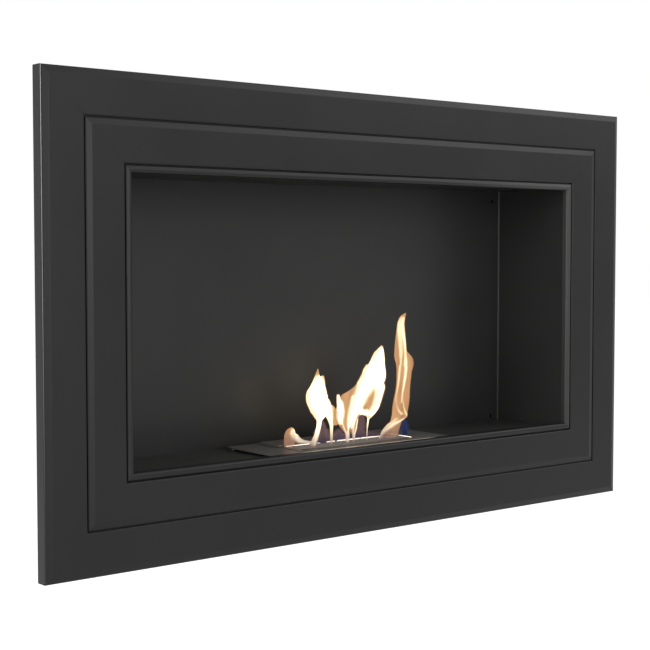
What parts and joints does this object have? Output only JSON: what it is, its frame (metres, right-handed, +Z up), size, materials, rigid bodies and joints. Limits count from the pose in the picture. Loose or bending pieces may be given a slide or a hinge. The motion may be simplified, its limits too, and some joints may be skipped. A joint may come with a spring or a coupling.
{
  "type": "bioethanol fireplace",
  "caption": "Wall-hung bioethanol fireplace: stepped black steel frame round a shallow firebox, with a lift-out burner and a sliding shutter over its flame slot.",
  "frame": {"origin": "middle of the four wall fixing holes, on the rear face of the firebox, which lies against the wall", "axes": "+X to the right and +Z up as seen from the room, +Y into the wall; the open front faces -Y"},
  "size_m": [0.85, 0.1249, 0.5],
  "materials": {
    "black_powder_coat": "satin black powder coat on folded steel sheet",
    "stainless_steel": "brushed stainless steel, a little heat-tinted at the slot",
    "zinc_plated_steel": "zinc-plated steel fasteners",
    "ceramic_fibre": "matt white ceramic fibre wool"
  },
  "bodies": {
    "casing": {"outer_tier_top": "black_powder_coat", "outer_tier_right": "black_powder_coat", "outer_tier_bottom": "black_powder_coat", "outer_tier_left": "black_powder_coat", "inner_tier_top": "black_powder_coat", "inner_tier_right": "black_powder_coat", "inner_tier_bottom": "black_powder_coat", "inner_tier_left": "black_powder_coat", "rim_top": "black_powder_coat", "rim_right": "black_powder_coat", "rim_bottom": "black_powder_coat", "rim_left": "black_powder_coat", "firebox_shell": "black_powder_coat", "firebox_ceiling": "black_powder_coat", "firebox_floor": "black_powder_coat", "casing_base": "black_powder_coat", "corner_keys": "zinc_plated_steel", "frame_studs": "zinc_plated_steel", "frame_nuts": "zinc_plated_steel"},
    "burner": {"burner_tank": "stainless_steel", "burner_top_plate": "black_powder_coat", "burner_feet": "stainless_steel", "slot_frame": "stainless_steel", "flame_baffle": "stainless_steel", "ceramic_wool": "ceramic_fibre"},
    "shutter": {"shutter": "black_powder_coat"}
  },
  "joints": [
    {"name": "burner_lift", "type": "slide", "parent": "casing", "child": "burner", "axis": [0, 0, 1], "range_m": [0, 0.06]},
    {"name": "shutter_slide", "type": "slide", "parent": "burner", "child": "shutter", "axis": [0, -1, 0], "range_m": [0, 0.036]}
  ]
}
